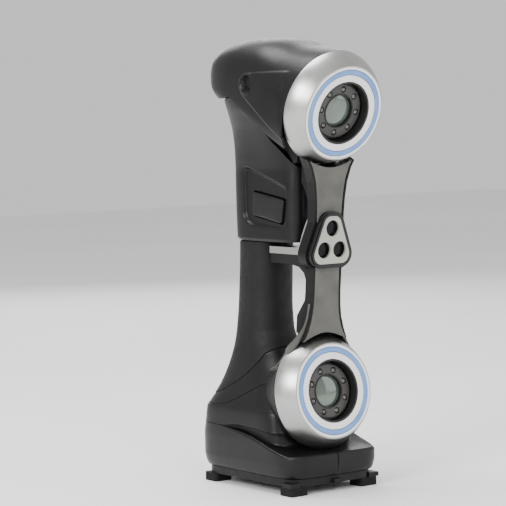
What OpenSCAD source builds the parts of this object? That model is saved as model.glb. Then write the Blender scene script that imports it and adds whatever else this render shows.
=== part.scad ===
// Handheld 3-D scanner: two ring-lit cameras and a laser unit on a leaning front
// frame, with a pistol handle behind it and a flat foot that it stands on.
// X is the width, -Y is the scanning direction and Z is up. All sizes are millimetres.

/* [Stance] */
// Lean of the front plane towards the scanned part, in degrees
front_lean = 4.8; // [3:0.2:6]
// Angle by which each camera turns towards the middle, in degrees
toe_in = 11.4; // [9:0.2:14]
// Distance between the face centres of the two cameras
baseline = 179; // [170:1:220]
// Height of the lower camera's face centre
lower_eye_z = 65.2; // [62:0.5:72]
// Distance of the lower camera's face centre ahead of the origin
lower_eye_y = 37.7; // [35:0.5:40]

/* [Camera rings] */
// Outer radius of a bezel at its back
ring_r = 37.5; // [36:0.5:40]
// Length of a bezel along its axis
bezel_len = 14.1; // [12:0.5:17]
// Outer radius of the white face ring
face_r = 30.4; // [29:0.2:32]
// Radius of the bore in front of the lens
bore_r = 20.5; // [19.5:0.1:22]
// Inner radius of the blue light ring
light_in_r = 25.1; // [24:0.1:26]
// Outer radius of the blue light ring
light_out_r = 28.3; // [27:0.1:28.8]
// Depth of the LED plate behind the face
led_depth = 5.5; // [4:0.5:8]
// Outer radius of the LED plate
led_plate_r = 17.1; // [16:0.1:18]
// Radius of the circle that the LEDs sit on
led_circle_r = 14.2; // [13.8:0.1:14.8]
// Number of LEDs round each lens
led_count = 8; // [6:1:10]
// Radius of the coated glass in front of each lens
glass_r = 10.5; // [9:0.1:10.8]

/* [Front frame] */
// Half of the spine's width between the cameras
spine_half_w = 10.9; // [10:0.2:14]
// Depth of the frame from its front edge to its back
frame_depth = 7.8; // [7:0.2:10]
// Setback of the spine's front face behind the plane of the two faces
spine_setback = 10.7; // [9:0.2:12]
// Thickness of the inset front cover
cover_t = 2.4; // [2:0.1:3]
// Half of the hub's width at the laser unit
hub_half_w = 20; // [19:0.2:22]

/* [Laser unit] */
// Radius of each of the three laser apertures
aperture_r = 5.3; // [4.5:0.1:5.6]
// Distance of each lower aperture from the middle
aperture_x = 6.3; // [6:0.1:7]
// How far the aperture plate stands in front of the spine
pod_proud = 4.4; // [3:0.2:6]

/* [Housings] */
// Wall thickness of the moulded housings
wall = 2.4; // [1.8:0.1:2.8]
// Half of the head's width
head_half_w = 37.5; // [36:0.5:40]
// Half of the foot's width
foot_half_w = 38.2; // [34:0.2:40]
// Half of the control block's width
block_half_w = 16.5; // [15:0.5:20]
// Half of the grip's width at its waist
grip_half_w = 16.5; // [15.5:0.5:20]
// Thickness of the rubber grip sleeve
sleeve_t = 2.2; // [1.8:0.1:3]

/* [Foot] */
// Height of the rubber feet under the bottom plate
feet_h = 4; // [3:0.5:6]
// Height of the housing's lower rim
rim_z = 10.7; // [9:0.5:12]
// Height of the deck in front of the lower camera
deck_z = 25.5; // [24:0.5:26]

/* [Controls] */
// Travel of each side button
button_travel = 1.2; // [0.8:0.1:1.6]
// Gap round each side button
button_gap = 0.5; // [0.4:0.1:0.8]
// Turn of the trigger from rest to its stop, in degrees
trigger_turn = 6; // [4:0.5:7]
// Radius of the trigger's pivot pin
trigger_pin_r = 1.5; // [1.2:0.1:2]
// Running clearance round the trigger's pin
pin_clearance = 0.05; // [0.03:0.01:0.09]
// Half of the trigger's width
trigger_half_w = 7; // [6:0.5:8]

/* [Sockets] */
// Radius of the round power socket
power_r = 4; // [3.5:0.1:5]
// Depth of the round power socket
power_depth = 8; // [6:0.5:10]
// Width of the data socket's mouth
data_w = 12; // [10:0.5:13]
// Height of the data socket's mouth
data_h = 8.5; // [7:0.5:9]
// Depth of the bay that both sockets open into
bay_depth = 7; // [6:0.5:8]

/* [Hidden] */
$fn = 64;
LOOP = 44;

BLACK = [0.07, 0.07, 0.075];
SOFT_BLACK = [0.05, 0.05, 0.055];
GREY = [0.32, 0.32, 0.30];
SILVER = [0.75, 0.75, 0.73];
PALE_GREY = [0.62, 0.62, 0.58];
BLUE = [0.45, 0.63, 0.88];

// Face centres as [y, z], with the directions along and across the front plane.
lean_dir = [-sin(front_lean), cos(front_lean)];
lower_eye = [-lower_eye_y, lower_eye_z];
upper_eye = lower_eye + baseline * lean_dir;
mid_eye = (lower_eye + upper_eye) / 2;
upper_tilt = front_lean + toe_in;
lower_tilt = front_lean - toe_in;
stretch = upper_eye[1] - 243.57;

// Widths and places that follow from the driving dimensions.
sleeve_r = bore_r - 1.2;
cell_r = glass_r + 0.8;
led_hole_r = 2.1;
led_r = 1.8;
board_t = 1.6;
block_z = mid_eye[1] + 6;
block_front = 17.5;
block_back = 47;
button_c = [8, block_z + 22.8];
pocket_depth = 2;
channel_r = 40;
channel_depth = 3;
floor_x = block_half_w - pocket_depth;
floor_t = 1.6;
flange_t = 1.1;
trigger_pivot = [-7.5, block_z + 45];
strut_top = block_z - 3.2;
strut_h = 4.5;
strut_cover_h = 6.3;
strut_half_w = 11;
neck_r = 9.5;
spine_back = -spine_setback - frame_depth;
socket_z = 24;
socket_x = 11;
bay_w = 44;
bay_h = 17;
screw_r = 1.5;
clear = 0.3;

// One superellipse loop in a level plane: half width a, from y0 at the front to y1 at the back.
// A positive taper k makes the front narrower than the back.
function sgnpow(v, p) = sign(v) * pow(abs(v), p);
function level_loop(a, y0, y1, z, e, k = 0) = [
    for (i = [0 : LOOP - 1])
        let (t = 360 * i / LOOP, b = (y1 - y0) / 2, s = sgnpow(sin(t), 2 / e))
        [a * sgnpow(cos(t), 2 / e) * (1 + k * s), (y0 + y1) / 2 + b * s, z]
];

// One loop in an upright plane, tilted by angle t about X: exponent e above, eb below.
function upright_loop(a, h, y, z, t, e, eb) = [
    for (i = [0 : LOOP - 1])
        let (k = -360 * i / LOOP, p = sin(k) < 0 ? eb : e, v = h * sgnpow(sin(k), 2 / p))
        [a * sgnpow(cos(k), 2 / p), y - v * sin(t), z + v * cos(t)]
];

// A closed solid through loops of equal length.
module skin(loops) {
    n = len(loops[0]);
    last = (len(loops) - 1) * n;
    sides = [
        for (j = [0 : len(loops) - 2], i = [0 : n - 1])
            let (a = j * n + i, b = j * n + (i + 1) % n)
            each [[a, a + n, b + n], [a, b + n, b]]
    ];
    polyhedron(
        points = [for (l = loops) each l],
        faces = concat([[for (i = [0 : n - 1]) i]], sides,
                       [[for (i = [n - 1 : -1 : 0]) last + i]]),
        convexity = 8);
}

// A profile given as [y, z] points, extruded across the width from -half to half.
module across(half, points) {
    rotate([90, 0, 90])
        linear_extrude(height = 2 * half, center = true)
            polygon(points);
}

module slab(x0, x1) {
    translate([x0, -120, -20])
        cube([x1 - x0, 240, 420]);
}

// Places children with their +Z along a camera's viewing direction.
module at_eye(eye, tilt) {
    translate([0, eye[0], eye[1]])
        rotate([90 + tilt, 0, 0])
            children();
}
module at_upper() at_eye(upper_eye, upper_tilt) children();
module at_lower() at_eye(lower_eye, lower_tilt) children();
module at_both() {
    at_upper() children();
    at_lower() children();
}

// Places children in the leaning front plane: X across, Y up the spine, Z forwards.
module at_front() at_eye(mid_eye, front_lean) children();

// ---- Camera stack, drawn with the face at Z = 0 and looking along +Z ----

function bezel_r(s) = face_r + 0.5 + (ring_r - face_r - 0.5) * (1 - pow(1 - s, 1.5));

module bezel() {
    color(SILVER)
        rotate_extrude()
            polygon(concat(
                [for (i = [0 : 10]) [bezel_r(1 - i / 10), -bezel_len * (1 - i / 10)]],
                [[face_r, 0], [face_r, -2.6], [bore_r + 3.5, -2.6], [bore_r + 3.5, -4.6],
                 [face_r - 2.5, -4.6], [ring_r - wall, -bezel_len + 1.5],
                 [ring_r - wall, -bezel_len]]));
}

module face_ring() {
    color("white")
        rotate_extrude()
            polygon([[bore_r + 0.1, -2.6], [face_r - 0.1, -2.6], [face_r - 0.1, 0], [light_out_r, 0],
                     [light_out_r, -1.3], [light_in_r, -1.3], [light_in_r, 0], [bore_r + 0.1, 0]]);
}

module light_ring() {
    color(BLUE)
        rotate_extrude()
            polygon([[light_in_r + 0.05, -1.3], [light_out_r - 0.05, -1.3],
                     [light_out_r - 0.05, 0.1], [light_in_r + 0.05, 0.1]]);
}

module bore_sleeve() {
    color(SOFT_BLACK)
        rotate_extrude()
            polygon([[sleeve_r, -0.4], [bore_r, -0.4], [bore_r, -2.6], [bore_r + 3.4, -2.6],
                     [bore_r + 3.4, -4.6], [bore_r, -4.6], [bore_r, -led_depth - 8.5],
                     [cell_r + 0.6, -led_depth - 8.5], [cell_r + 0.6, -led_depth - 7],
                     [sleeve_r, -led_depth - 7]]);
}

module on_led_circle(phase) {
    for (i = [0 : led_count - 1])
        rotate([0, 0, 360 * i / led_count + phase])
            translate([led_circle_r, 0, 0])
                children();
}

module led_plate(phase) {
    color(GREY)
        difference() {
            rotate_extrude()
                polygon([[cell_r + 0.1, -led_depth - 1.8], [led_plate_r + 1.2, -led_depth - 1.8],
                         [led_plate_r + 1.2, -led_depth - 1.1], [led_plate_r, -led_depth - 0.7],
                         [led_plate_r, -led_depth], [cell_r + 0.1, -led_depth]]);
            on_led_circle(phase)
                translate([0, 0, -led_depth - 3])
                    cylinder(r = led_hole_r, h = 6);
        }
}

module leds(phase) {
    color("lightyellow")
        on_led_circle(phase)
            translate([0, 0, -led_depth - 4.1]) {
                cylinder(r = led_r, h = 3);
                translate([0, 0, 3])
                    intersection() {
                        sphere(r = led_r);
                        translate([-3, -3, -0.2])
                            cube(6);
                    }
            }
}

module led_board() {
    color("darkgreen")
        translate([0, 0, -led_depth - 4.1 - board_t])
            difference() {
                cylinder(r = sleeve_r - 0.1, h = board_t);
                translate([0, 0, -1])
                    cylinder(r = cell_r + 0.6, h = board_t + 2);
            }
}

module lens_cell() {
    color(SOFT_BLACK)
        translate([0, 0, -led_depth - 8.5])
            difference() {
                cylinder(r = cell_r, h = 8.9);
                translate([0, 0, -1])
                    cylinder(r = glass_r + 0.05, h = 12);
            }
}

module lens_glass() {
    color([0.35, 0.42, 0.36])
        translate([0, 0, -led_depth - 1.6])
            cylinder(r = glass_r, h = 1.5);
}

module lens_barrel() {
    color(BLACK)
        rotate_extrude()
            polygon([[0, -led_depth - 18], [glass_r - 1, -led_depth - 18],
                     [glass_r - 1, -led_depth - 13], [glass_r + 2.4, -led_depth - 13],
                     [glass_r + 2.4, -led_depth - 8.5], [glass_r, -led_depth - 8.5],
                     [glass_r, -led_depth - 2], [0, -led_depth - 3.4]]);
}

module camera() {
    translate([0, 0, -led_depth - 28]) {
        color("dimgray")
            translate([-13, -13, 0])
                cube([26, 26, 10]);
        color("darkgreen")
            translate([-14, -14, -board_t])
                cube([28, 28, board_t]);
    }
}

// ---- Head: barrel behind the upper camera, sliced off along a slope underneath ----

function head_loops(o) = let (u = upper_eye, w = head_half_w - o, d = bezel_len + clear) [
    upright_loop(ring_r - o, ring_r - o, u[0] + d * cos(upper_tilt),
                 u[1] + d * sin(upper_tilt), upper_tilt, 2, 2.9),
    upright_loop(w, 34.8 - o, u[0] + 33, u[1] + 9.3, 11, 2.3, 3.6),
    upright_loop(w, 31 - o, u[0] + 53, u[1] + 17.8, 6, 2.6, 4),
    upright_loop(w - 0.7, 26 - o, u[0] + 74, u[1] + 23.2, 3, 2.9, 4),
    upright_loop(w - 3, 20.5 - o, u[0] + 90, u[1] + 26, 1, 3, 4),
    upright_loop(w - 7.5, 15.5 - o, u[0] + 101 - o / 2, u[1] + 26.5, 0, 2.8, 3.5),
    upright_loop(w - 15, 10 - o, u[0] + 107 - o, u[1] + 26, 0, 2.5, 3)
];

// The head's sliced underside: a slope that ends in an arch at the back.
slice_line = [[-80, -53.1], [12.7, 7.2], [17.3, 10.3], [21.5, 12.2], [27, 11.6], [34, 10.8],
              [80, 10.5]];

module under_slice(drop) {
    z = upper_eye[1] - drop;
    across(60, concat([for (p = slice_line) [p[0], p[1] + z]], [[80, -10], [-80, -10]]));
}

head_bore = [-1.1, upper_eye[1] + 20];
head_bore_r = 5.2;

module at_head_bores() {
    for (s = [-1, 1])
        translate([s * head_half_w, head_bore[0], head_bore[1]])
            rotate([0, s * 90, 0])
                children();
}

module head_shell() {
    color(BLACK)
        difference() {
            union() {
                skin(head_loops(0));
                at_head_bores()
                    translate([0, 0, -6])
                        cylinder(r = head_bore_r + 3.2, h = 6.2);
            }
            skin(concat([[for (p = head_loops(wall)[0]) p - [0, 6, 2]]], head_loops(wall)));
            under_slice(0);
            at_head_bores()
                translate([0, 0, -20])
                    cylinder(r = head_bore_r, h = 30);
            status_cut();
        }
}

// The status window is a strip of light in the back of the head.
module status_cut() {
    translate([-14, upper_eye[0] + 100, upper_eye[1] + 30])
        cube([28, 20, 5]);
}

module status_window() {
    color("lightblue")
        translate([-13.9, upper_eye[0] + 104, upper_eye[1] + 30.1])
            cube([27.8, 5, 4.8]);
}

module head_screws() {
    color("darkgray")
        at_head_bores()
            translate([0, 0, -8])
                difference() {
                    union() {
                        cylinder(r = head_bore_r - 0.6, h = 5);
                        translate([0, 0, -8])
                            cylinder(r = 2, h = 8.5);
                    }
                    translate([0, 0, 2.2])
                        cylinder(r = 2.3, h = 4, $fn = 6);
                }
}

// The neck closes the head's underside and stands in the control block.
module neck_frame() {
    half = block_half_w - wall - 1.2;
    z = block_z;
    top = upper_eye[1];
    color(SOFT_BLACK)
        difference() {
            union() {
                intersection() {
                    skin(head_loops(wall + 0.1));
                    difference() {
                        under_slice(-3);
                        under_slice(0);
                    }
                }
                across(half, [[0, z + 57], [0, z + 62.6], [-10, z + 58.8], [-17, z + 51.4],
                              [-29, z + 55],
                              [-31, top - 20], [12.7, top + 8], [22, top + 13], [31, top + 12],
                              [31, z + 66]]);
            }
            across(half - wall, [[4, z + 40], [4, top + 8], [24, top + 20], [28, z + 40]]);
            at_upper()
                translate([-60, -60, -bezel_len - clear - 8.5])
                    cube([120, 120, 60]);
        }
}

// ---- Control block between the head and the grip ----

function block_loops(o) = let (w = block_half_w - o, f = block_front - 2.2 * o, z = block_z) [
    level_loop(w - 1, -f + 1, block_back - o - 1.5, z + o, 4.5, 0.04),
    level_loop(w, -f, block_back - o, z + 2 + o, 4.5, 0.04),
    level_loop(w, -f - 0.5, block_back + 0.8 - o, z + 26, 4.5, 0.04),
    level_loop(w, -f - 1, block_back + 1.2 - o, z + 45, 4.2, 0.05),
    level_loop(w + 1.6, -f - 1, block_back + 0.4 - o, z + 55, 3.8, 0.06),
    level_loop(w + 4, -f - 1, block_back - 0.6 - o, z + 64, 3.4, 0.06),
    level_loop(w + 7.5, -f - 1, block_back - 1.6 - o, z + 73, 3.1, 0.05),
    level_loop(w + 12, -f - 1, block_back - 2.6 - o, z + 81, 2.9, 0.03),
    level_loop(w + 16, -f - 1, block_back - 3 - o, z + 87.5, 2.8, 0),
    level_loop(w + 19, -f - 1, block_back - 2.4 - o, z + 97, 2.8, 0)
];

module block_top_cut() {
    z = upper_eye[1];
    across(60, concat([[-60, z - 64], [-17.3, z - 33.7], [-2, z - 17], [6, z - 3.4],
                       [12.7, z + 6.4]],
                      [for (p = slice_line) if (p[0] > 13) [p[0], p[1] + z - 0.6]],
                      [[80, z + 80], [-60, z + 80]]));
}

// The button's outline in the side plane: a leaning rounded quadrilateral.
button_corners = [[-17, 5], [15.2, 9.8], [16.2, -5.5], [-14.3, -10.5]];

module button_prism(grow, x, h) {
    translate([x, 0, 0])
        rotate([90, 0, 90])
            linear_extrude(height = h)
                translate(button_c)
                    offset(r = 2.5 + grow, $fn = 24)
                        offset(delta = -2.5)
                            polygon(button_corners);
}

pocket_points = [[34.5, 46], [31, 49.5], [22, 47.5], [4, 42], [-12, 35.8], [-13, 32],
                 [-11, 11], [-7, 8.4], [27, 10.3], [33.5, 15.5]];

module pocket_prism(x, h) {
    translate([x, 0, 0])
        rotate([90, 0, 90])
            linear_extrude(height = h)
                translate([0, block_z])
                    offset(r = 3, $fn = 24)
                        offset(delta = -3)
                            polygon(pocket_points);
}

// The slot that the trigger comes through.
module trigger_slot() {
    across(trigger_half_w + 0.5,
           [[-60, block_z + 9.5], [-60, block_z + 48], [-10, block_z + 48],
            [-10, block_z + 9.5]]);
}

board_posts = [[-2.5, block_z + 7], [26, block_z + 37.5]];

// The hollow across the front that the first finger lies in.
module finger_channel() {
    translate([-60, -block_front - 1.2 - channel_r + channel_depth, block_z + 29])
        rotate([0, 90, 0])
            cylinder(r = channel_r, h = 120, $fn = 128);
}

module block_half() {
    difference() {
        union() {
            difference() {
                skin(block_loops(0));
                skin(block_loops(wall));
                translate([-60, 0, 0])
                    pocket_prism(60 + floor_x, 60);
            }
            intersection() {
                skin(block_loops(0));
                pocket_prism(floor_x - floor_t, floor_t);
            }
            for (p = board_posts)
                translate([6.9, p[0], p[1]])
                    rotate([0, 90, 0])
                        cylinder(r = 2.5, h = floor_x - floor_t - 6.8);
            translate([trigger_half_w + 0.3, trigger_pivot[0], trigger_pivot[1]])
                rotate([0, 90, 0])
                    cylinder(r = 3.4, h = block_half_w - wall - trigger_half_w);
        }
        slab(-60, 0);
        block_top_cut();
        button_prism(button_gap, 0, 60);
        button_prism(button_gap + 0.8, floor_x - floor_t - 4.2, 4.1);
        translate([0, 33, block_z - 1])
            cylinder(r = neck_r + clear, h = wall + 4);
        trigger_slot();
        finger_channel();
        translate([0, trigger_pivot[0], trigger_pivot[1]])
            rotate([0, 90, 0])
                cylinder(r = trigger_pin_r + 0.02, h = block_half_w - wall + 0.8);
    }
}

module block_right() {
    color(BLACK)
        block_half();
}

module block_left() {
    color(BLACK)
        mirror([1, 0, 0])
            block_half();
}

// The flange behind the pocket's floor keeps the button in.
module side_button() {
    color(BLACK) {
        button_prism(0, floor_x - floor_t - 0.2, floor_t + 1.9);
        button_prism(button_gap + 0.5, floor_x - floor_t - 0.1 - flange_t, flange_t);
    }
}

module side_button_right() side_button();

module side_button_left() {
    mirror([1, 0, 0])
        side_button();
}

plunger_x = floor_x - floor_t - 0.1 - flange_t - button_travel - 0.1;

module button_switches() {
    color("dimgray")
        for (s = [0, 1])
            mirror([s, 0, 0])
                translate([plunger_x, button_c[0], button_c[1]])
                    rotate([0, -90, 0]) {
                        cylinder(r = 1.8, h = 1.4);
                        translate([-3, -3, 1.3])
                            cube([6, 6, plunger_x - 7.9]);
                    }
}

module control_board() {
    color("darkgreen") {
        for (x = [-6.6, 5])
            translate([x, -5.5, block_z + 4.5])
                cube([board_t, 35, 36]);
        translate([-5.1, switch_y + 8, block_z + 21])
            cube([10.2, 1.6, 10]);
        for (p = board_posts)
            translate([-5.1, p[0], p[1]])
                rotate([0, 90, 0])
                    cylinder(r = 2, h = 10.2);
    }
}

// The lever hangs from its pin and swings back into the block.
trigger_points = [[-7.5, 48.2], [-12.5, 47], [-15.5, 44], [-17.6, 39], [-18.7, 33],
                  [-19, 27], [-18.7, 21], [-18, 16], [-16.8, 12.3], [-15, 11.5], [-13, 13],
                  [-11.8, 18], [-11.3, 28], [-10.8, 36], [-5, 42.8], [-4.4, 45]];

module trigger() {
    color(SOFT_BLACK)
        difference() {
            union() {
                across(trigger_half_w, [for (p = trigger_points) [p[0], p[1] + block_z]]);
                translate([-trigger_half_w, trigger_pivot[0], trigger_pivot[1]])
                    rotate([0, 90, 0])
                        cylinder(r = 3.3, h = 2 * trigger_half_w);
            }
            translate([-20, trigger_pivot[0], trigger_pivot[1]])
                rotate([0, 90, 0])
                    cylinder(r = trigger_pin_r + pin_clearance, h = 40);
        }
}

module trigger_pin() {
    color(SILVER)
        translate([-block_half_w + wall, trigger_pivot[0], trigger_pivot[1]])
            rotate([0, 90, 0])
                cylinder(r = trigger_pin_r, h = 2 * (block_half_w - wall));
}

switch_y = -11.3 + 19.5 * sin(trigger_turn) + 0.2;

module trigger_switch() {
    color("dimgray")
        translate([0, switch_y, block_z + 26]) {
            rotate([-90, 0, 0])
                cylinder(r = 1.3, h = 2.2);
            translate([-3.2, 2, -4.5])
                cube([6.4, 6, 9]);
        }
}

// ---- Grip, collar and base: one flaring body, parted along two curves ----

function body_loops(o) = let (g = grip_half_w - o, f = foot_half_w - 0.4 - o, z = block_z) [
    level_loop(f - 1, -26 + o, 60.5 - o, 19, 6),
    level_loop(f, -25 + o, 61.6 - o, 31, 6.5),
    level_loop(f - 0.6, -23 + o, 60.6 - o, 41, 7),
    level_loop(f - 1.4, -21 + o, 59.4 - o, 50.5, 7),
    level_loop(f - 2.6, -20 + o, 58.6 - o, 54, 5.5),
    level_loop(f - 5, -18 + o, 57.7 - o, 59.5, 4.4),
    level_loop(g + 12.8, -14.5 + o, 57 - o, 66.5, 3.5),
    level_loop(g + 9, -8 + o, 56.2 - o, 75, 2.9),
    level_loop(g + 5, 2 + o, 55 - o, 85, 2.5),
    level_loop(g + 2.2, 9.5 + o, 53.8 - o, 93, 2.4),
    level_loop(g + 1, 13.2 + o, 52.6 - o, 102, 2.3),
    level_loop(g, 14 + o, 50.6 - o, 120, 2.3),
    level_loop(g, 13.5 + o, 48.6 - o, z - 20, 2.3),
    level_loop(g - 0.2, 13 + o, 47 - o, z, 2.5)
];

function foot_loops(o) = let (f = foot_half_w - o) [
    level_loop(f - 2, -39.2 + o, 60 - o, rim_z - (o > 0.5 ? 1 : 0), 7),
    level_loop(f - 0.8, -40.6 + o, 61.2 - o, rim_z + 3.5, 7),
    level_loop(f, -41.3 + o, 62 - o, rim_z + 9, 7),
    level_loop(f, -41 + o, 62 - o, 31, 7),
    level_loop(f - 0.6, -40 + o, 61 - o, 41, 7)
];

collar_line = [[-60, 101], [-34, 101], [-17, 80.2], [1, 68.6], [17.8, 59.6], [30, 54.4],
               [44, 52], [57.7, 51.5], [80, 51.5]];
grip_line = [[-60, 108], [-6, 108], [6, 92], [11.8, 86.8], [13.3, 82.5], [17.6, 76.3],
             [27.5, 68.6], [40.6, 61.4], [52, 57.8], [60, 57], [80, 57]];

module below(line) across(60, concat(line, [[80, -10], [-60, -10]]));
module above(line) across(60, concat(line, [[80, 300], [-60, 300]]));

// The moulding from the lower camera's ring back into the base.
module barrel(o) {
    hull() {
        at_lower()
            translate([0, 0, -bezel_len - 0.4])
                cylinder(r = ring_r - o, h = 1, $fn = 40);
        translate([0, 4, 58])
            rotate([90, 0, 0])
                cylinder(r = 27 - o, h = 1, $fn = 40);
    }
}

// The foot's top edge, and the lower edge of the body that stands on it. A sunk step runs
// between them, widening towards the deck at the front.
deck_line = [[-60, deck_z], [-34, deck_z + 0.1], [-20.2, 29], [-8.2, 32.6], [2.5, 35.4],
             [16, 37.4], [28, 38.6], [38, 39.4], [80, 39.6]];
body_line = [[-60, 32], [-36, 35], [-22, 38], [-3, 40.4], [14, 41], [25, 40.2], [33, 36.6],
             [80, 36]];
step_in = 4.5;

// Room for the two sockets in the back wall.
module bay_cut() {
    translate([-bay_w / 2, 62 - bay_depth, socket_z - bay_h / 2])
        cube([bay_w, 20, bay_h]);
}

// The walls round the bay, with a mouth for the round or the square socket.
module bay_box(round_mouth) {
    difference() {
        translate([-bay_w / 2 - wall, 62 - bay_depth - wall, socket_z - bay_h / 2 - wall])
            cube([bay_w + 2 * wall, bay_depth, bay_h + 2 * wall]);
        bay_cut();
        if (round_mouth)
            translate([socket_x, 40, socket_z])
                rotate([-90, 0, 0])
                    cylinder(r = power_r + 1.6, h = 40);
        else
            translate([socket_x - data_w / 2 - 1.3, 40, socket_z - data_h / 2 - 1.3])
                cube([data_w + 2.6, 40, data_h + 2.6]);
    }
}

// The base's outer form, or its hollow when o is the wall thickness.
module base_form(o) {
    intersection() {
        skin(foot_loops(o));
        translate([0, 0, -o])
            below(deck_line);
    }
    intersection() {
        skin(body_loops(step_in + o));
        below(collar_line);
    }
    intersection() {
        union() {
            barrel(o);
            intersection() {
                skin(body_loops(o));
                translate([0, 0, o])
                    above(body_line);
            }
        }
        below(collar_line);
    }
}

module base_half(round_mouth) {
    difference() {
        base_form(0);
        base_form(wall);
        eye_room();
        bay_cut();
        slab(-60, 0);
    }
    intersection() {
        bay_box(round_mouth);
        skin(foot_loops(0.3));
        slab(0, 60);
    }
}

// Space ahead of the barrel for the bezel, and the round mouth behind it.
module eye_room() {
    at_lower() {
        translate([0, 0, -bezel_len - clear / 2])
            cylinder(r = ring_r + 0.5, h = 60);
        translate([0, 0, -bezel_len - 12])
            cylinder(r = ring_r - wall - 0.25, h = 14);
    }
}

module base_right() {
    color(BLACK)
        base_half(false);
}

module base_left() {
    color(BLACK)
        mirror([1, 0, 0])
            base_half(true);
}

module grip_collar() {
    color(BLACK)
        difference() {
            intersection() {
                union() {
                    skin(body_loops(0));
                    barrel(0);
                }
                translate([0, 0, 0.4])
                    above(collar_line);
                translate([0, 0, -0.4])
                    below(grip_line);
                translate([-60, -14.6, 0])
                    cube([120, 120, 200]);
            }
            skin(body_loops(wall));
            barrel(wall);
        }
}

module grip_sleeve() {
    color(SOFT_BLACK)
        difference() {
            intersection() {
                skin(body_loops(0));
                above(grip_line);
            }
            skin(body_loops(sleeve_t));
            strut_room(0.4, 40);
        }
}

// The tube inside the grip, with a neck up into the control block.
module handle_core() {
    color(GREY)
        difference() {
            union() {
                intersection() {
                    skin(body_loops(sleeve_t + clear));
                    translate([0, 0, -1.5])
                        above(grip_line);
                    translate([-60, -60, 0])
                        cube([120, 140, block_z - 1]);
                }
                translate([0, 33, block_z - 6])
                    cylinder(r = neck_r, h = 9.6);
            }
            intersection() {
                skin(body_loops(sleeve_t + clear + wall));
                translate([-60, -60, 0])
                    cube([120, 140, block_z - 4]);
            }
            translate([0, 33, block_z - 20])
                cylinder(r = neck_r - 2.4, h = 40);
            strut_room(0.3, 26);
        }
}

// Room for the strut's tenon, up to the given y.
module strut_room(gap, y) {
    translate([-8 - gap, -30, strut_top - strut_h + 1 - gap])
        cube([16 + 2 * gap, 30 + y, strut_h - 2 + 2 * gap]);
}

foot_spots = [[-29, -31], [29, -31], [-29, 50], [29, 50]];

module at_feet(lift) {
    for (p = foot_spots)
        translate([p[0] - 1.5 * sign(p[0]), p[1] - 1.5 * sign(p[1]), lift])
            children();
}

module bottom_plate() {
    color(SOFT_BLACK)
        difference() {
            union() {
                translate([0, 0, feet_h + 1.6])
                    linear_extrude(height = rim_z - feet_h - 1.9)
                        polygon([for (p = foot_loops(1.2)[0]) [p[0], p[1]]]);
                for (x = [-36.8, 28.8])
                    translate([x, -37.5, feet_h + 1.6])
                        cube([8, 9, 2.8]);
                translate([-3, -40.5, feet_h + 1.6])
                    cube([6, 5, 2.8]);
                at_feet(rim_z - 1)
                    cylinder(r = 3.4, h = 4);
            }
            at_feet(0)
                cylinder(r = screw_r, h = 40);
            at_feet(0)
                cylinder(r = screw_r + 1.4, h = feet_h + 3.6);
        }
}

module rubber_feet() {
    color("black")
        difference() {
            for (p = foot_spots)
                translate([p[0], p[1], 0])
                    linear_extrude(height = feet_h + 1.6)
                        offset(r = 2, $fn = 24)
                            square([10, 9], center = true);
            at_feet(-1)
                cylinder(r = screw_r + 1.7, h = 20);
        }
}

module bottom_screws() {
    color("darkgray")
        at_feet(feet_h + 1.6)
            difference() {
                union() {
                    cylinder(r = screw_r + 1.2, h = 2);
                    cylinder(r = screw_r - 0.05, h = 10);
                }
                translate([0, 0, -1])
                    cylinder(r = 1.3, h = 2.2, $fn = 6);
            }
}

module main_board() {
    color("darkgreen")
        translate([-22, -26, rim_z + 3.2])
            cube([44, 72, board_t]);
    color("dimgray") {
        translate([-14, -8, rim_z + 3.2 + board_t])
            cube([20, 20, 2.5]);
        translate([10, 20, rim_z + 3.2 + board_t])
            cube([12, 14, 4]);
        translate([-22, 24, rim_z + 3.2 + board_t])
            cube([10, 10, 6]);
    }
}

module power_socket() {
    color("dimgray")
        translate([-socket_x, 62 - bay_depth - wall - power_depth - 1, socket_z])
            rotate([-90, 0, 0])
                difference() {
                    cylinder(r = power_r + 1.4, h = power_depth + 1.5);
                    translate([0, 0, 1.5])
                        cylinder(r = power_r, h = power_depth + 2);
                }
}

module data_socket() {
    color(SILVER)
        translate([socket_x, 62 - bay_depth - wall - 9, socket_z]) {
            difference() {
                translate([-data_w / 2 - 1, 0, -data_h / 2 - 1])
                    cube([data_w + 2, 10.4, data_h + 2]);
                translate([-data_w / 2, 1.5, -data_h / 2])
                    cube([data_w, 20, data_h]);
            }
            translate([-data_w / 2 + 1.8, 1, data_h / 2 - 2.2])
                cube([data_w - 3.6, 7.5, 1.4]);
        }
}

// ---- Front frame, drawn lying in the leaning plane ----

// Right-hand edge of the spine from the lower camera up to the upper one.
function half_outline(b) = [
    [19, -b + 25], [18.5, -b + 31], [15.5, -b + 38], [13, -b + 46], [spine_half_w + 1, -b + 54],
    [spine_half_w + 0.6, -26], [spine_half_w + 1, 24], [spine_half_w + 1.4, b - 56],
    [spine_half_w + 2.8, b - 45], [16.5, b - 36], [20, b - 29.5], [22, b - 24]
];

module frame_outline(inset) {
    half = half_outline(baseline / 2);
    n = len(half);
    offset(delta = -inset)
        union() {
            polygon(concat(half, [for (i = [n - 1 : -1 : 0]) [-half[i][0], half[i][1]]]));
            pod_outline(4.4);
        }
}

module eye_rooms(grow) {
    for (s = [-1, 1])
        translate([0, s * baseline / 2, 0])
            rotate([s * toe_in, 0, 0])
                translate([0, 0, -bezel_len - clear])
                    cylinder(r = ring_r + grow, h = 40);
}

// The frame's two ends are wedges that reach back to the eye plates.
module frame_ends() {
    b = baseline / 2;
    for (s = [-1, 1])
        across(spine_half_w, [[s * (b - 60), spine_back + 1], [s * (b - 46), spine_back - 8.5],
                              [s * (b - 25), spine_back - 9], [s * (b - 25), spine_back + 3]]);
}

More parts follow.
